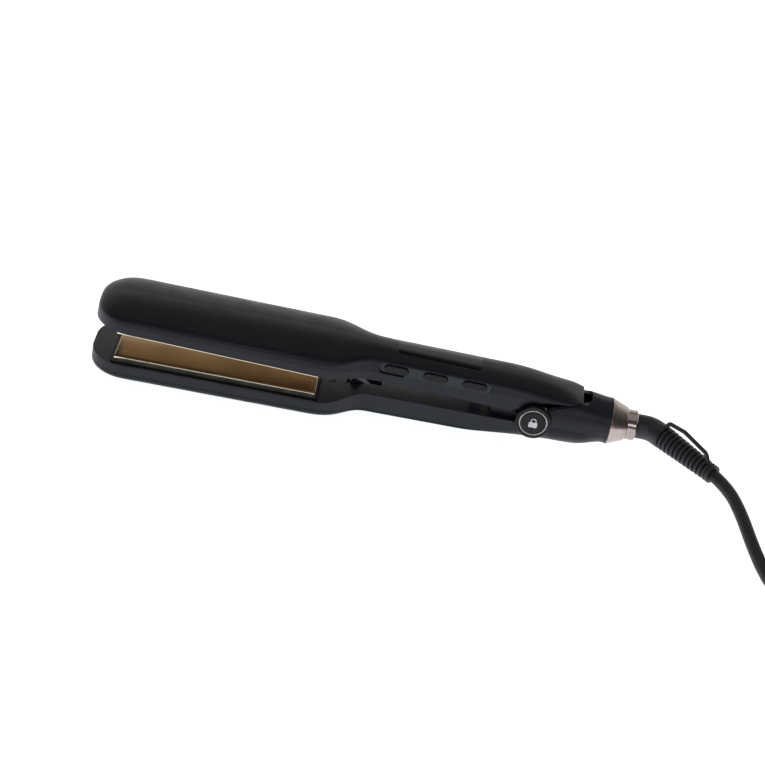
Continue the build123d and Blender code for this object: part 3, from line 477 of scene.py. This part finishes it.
# Printed marks ------------------------------------------------------------------------------
def flat_outline(name, loops, thickness):
    """Thin print lying in the X-Z plane, facing -Y: each loop is points across and up."""
    data = bpy.data.curves.new(name, "CURVE")
    data.dimensions = "2D"
    data.fill_mode = "BOTH"
    data.extrude = thickness
    for loop in loops:
        spline = data.splines.new("POLY")
        spline.points.add(len(loop) - 1)
        for point, (across, up) in zip(spline.points, loop):
            point.co = (across, up, 0, 1)
        spline.use_cyclic_u = True
    mark = bpy.data.objects.new(name, data)
    bpy.context.collection.objects.link(mark)
    mark.rotation_euler = (radians(90), 0, 0)
    return mark


def arc(radius, start, end, steps, centre=(0.0, 0.0)):
    """Points on part of a circle, angles in degrees."""
    angles = [radians(start + (end - start) * step / steps) for step in range(steps + 1)]
    return [(centre[0] + radius * cos(angle), centre[1] + radius * sin(angle)) for angle in angles]


PADLOCK_HALF = 0.00235
PADLOCK_LOW = -0.0026
PADLOCK_HIGH = 0.0006
PADLOCK_CORNER = 0.0005
SHACKLE_OUTER = 0.0016
SHACKLE_INNER = 0.00105
SHACKLE_SPRING = 0.0014
PRINT_GAP = 0.00004
PRINT_THICK = 0.00003
PRINT_LIFT = 0.00002


def padlock_print():
    """White padlock sign on the lock button."""
    side = PADLOCK_HALF - PADLOCK_CORNER
    top, bottom = PADLOCK_HIGH - PADLOCK_CORNER, PADLOCK_LOW + PADLOCK_CORNER
    body = (
        arc(PADLOCK_CORNER, 0, 90, 5, (side, top))
        + arc(PADLOCK_CORNER, 90, 180, 5, (-side, top))
        + arc(PADLOCK_CORNER, 180, 270, 5, (-side, bottom))
        + arc(PADLOCK_CORNER, 270, 360, 5, (side, bottom))
    )
    foot = PADLOCK_HIGH + PRINT_GAP
    shackle = (
        arc(SHACKLE_OUTER, 0, 180, 16, (0, SHACKLE_SPRING))
        + [(-SHACKLE_OUTER, foot), (-SHACKLE_INNER, foot)]
        + arc(SHACKLE_INNER, 180, 0, 16, (0, SHACKLE_SPRING))
        + [(SHACKLE_INNER, foot), (SHACKLE_OUTER, foot)]
    )
    mark = flat_outline("padlock_print", [body, shackle], PRINT_THICK)
    low_corner, high_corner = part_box("lock_button")
    centre = (low_corner + high_corner) / 2
    mark.location = (centre.x, low_corner.y - PRINT_LIFT, centre.z)
    surface = Surface("print_white", (0.72, 0.72, 0.74), 0.5)
    surface.tint(surface.noise(900, 4), (0.62, 0.62, 0.64), (0.80, 0.80, 0.82))
    mark.data.materials.append(surface.material)
    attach(mark, "lock")


padlock_print()


# Stage --------------------------------------------------------------------------------------
FLOOR_GLOW = 0.95          # the table top is a lit panel, so the iron throws hardly any shadow
FLOOR_HALF = 3.0
SWEEP_LEVEL = 0.8         # brightness of the paper sweep
SWEEP_SIDE = (-0.35, 0.55)      # where the sweep starts and is full, along Y
SWEEP_TOP = (0.42, 0.80)        # where it starts to fade and is gone, along Z
ROOM_LEVEL = 0.05
WARM_LIGHT = (1.0, 0.98, 0.95)
COOL_LIGHT = (0.93, 0.96, 1.0)


def make_floor():
    """Plain pale table top."""
    mesh = bpy.data.meshes.new("floor")
    half = FLOOR_HALF
    corners = [(-half, -half, 0), (half, -half, 0), (half, half, 0), (-half, half, 0)]
    mesh.from_pydata(corners, [], [(0, 1, 2, 3)])
    floor = bpy.data.objects.new("floor", mesh)
    bpy.context.collection.objects.link(floor)
    surface = Surface("floor", (0.8, 0.81, 0.83), 0.9, specular=0.1)
    surface.tint(surface.noise(2, 2), (0.79, 0.80, 0.82), (0.81, 0.82, 0.84))
    surface.shader.inputs["Emission Color"].default_value = (0.955, 0.975, 1.0, 1)
    surface.shader.inputs["Emission Strength"].default_value = FLOOR_GLOW
    mesh.materials.append(surface.material)


def area_light(name, place, aim, size, power, colour=(1, 1, 1)):
    """Soft rectangular lamp."""
    data = bpy.data.lights.new(name, "AREA")
    data.shape = "RECTANGLE"
    data.size, data.size_y = size
    data.energy = power
    data.color = colour
    lamp = bpy.data.objects.new(name, data)
    lamp.location = place
    lamp.rotation_euler = (Vector(aim) - Vector(place)).to_track_quat("-Z", "Y").to_euler()
    bpy.context.collection.objects.link(lamp)


def world_glow():
    """Pale paper sweep low down behind the iron, dim room above it and in front."""
    world = bpy.data.worlds.new("studio")
    world.use_nodes = True
    nodes, links = world.node_tree.nodes, world.node_tree.links
    split = nodes.new("ShaderNodeSeparateXYZ")
    links.new(nodes.new("ShaderNodeTexCoord").outputs["Generated"], split.inputs["Vector"])

    def faded(value, start, end, low, high):
        node = nodes.new("ShaderNodeMapRange")
        node.interpolation_type = "SMOOTHSTEP"
        node.inputs["From Min"].default_value = start
        node.inputs["From Max"].default_value = end
        node.inputs["To Min"].default_value = low
        node.inputs["To Max"].default_value = high
        links.new(value, node.inputs["Value"])
        return node.outputs["Result"]

    behind = faded(split.outputs["Y"], *SWEEP_SIDE, 0.0, 1.0)
    below = faded(split.outputs["Z"], *SWEEP_TOP, SWEEP_LEVEL, 0.0)
    product = nodes.new("ShaderNodeMath")
    product.operation = "MULTIPLY_ADD"
    links.new(behind, product.inputs[0])
    links.new(below, product.inputs[1])
    product.inputs[2].default_value = ROOM_LEVEL
    backdrop = nodes["Background"]
    backdrop.inputs["Color"].default_value = (1.0, 0.985, 0.95, 1)
    links.new(product.outputs[0], backdrop.inputs["Strength"])
    bpy.context.scene.world = world


def light_stage():
    """Dim soft light from above, and a low narrow one from the front for the plate's edges."""
    world_glow()
    area_light("overhead", (0.0, 0.1, 1.6), (0, 0, 0), (2.6, 1.8), 5.0, WARM_LIGHT)
    area_light("front_strip", (0.0, -1.15, 0.60), (-0.05, 0, 0.02), (1.4, 0.18), 2.6, COOL_LIGHT)
    bpy.context.scene.view_settings.view_transform = "Standard"


make_floor()
light_stage()
